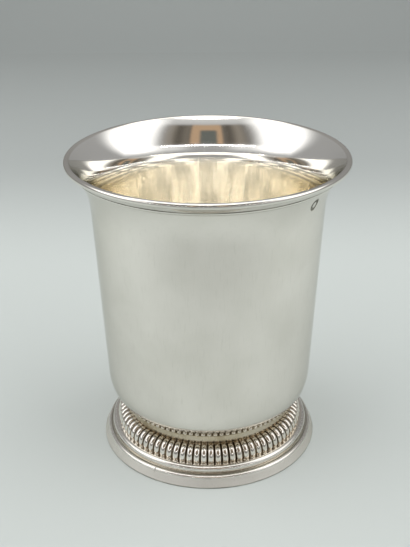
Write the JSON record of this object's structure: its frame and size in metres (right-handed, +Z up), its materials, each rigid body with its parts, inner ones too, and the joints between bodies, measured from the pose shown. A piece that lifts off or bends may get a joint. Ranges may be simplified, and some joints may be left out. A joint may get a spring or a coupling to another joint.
{
  "type": "footed tumbler",
  "caption": "Footed silver drinking tumbler with a flared, moulded mouth, a tapered plain body, and a foot of pearls, gadroons and a moulded base ring.",
  "frame": {"origin": "centre of the underside of the base ring, on the table", "axes": "+Z up along the axis of the bowl; -Y towards the viewer of the picture"},
  "size_m": [0.084, 0.084, 0.0947],
  "materials": {
    "polished_silver": "polished silver with fine scratches",
    "worked_silver": "polished silver, tarnished brown in the hollows",
    "base_silver": "polished silver with a satin side",
    "solder_silver": "dull solder"
  },
  "bodies": {
    "root": {"bowl": "polished_silver", "lip_wire": "polished_silver", "thread_wire": "polished_silver", "pearl_wire": "worked_silver", "collar": "worked_silver", "bowl_solder": "solder_silver", "gadroon_band": "worked_silver", "round_wire": "base_silver", "foot_solder": "solder_silver", "base_ring": "base_silver"}
  },
  "joints": []
}
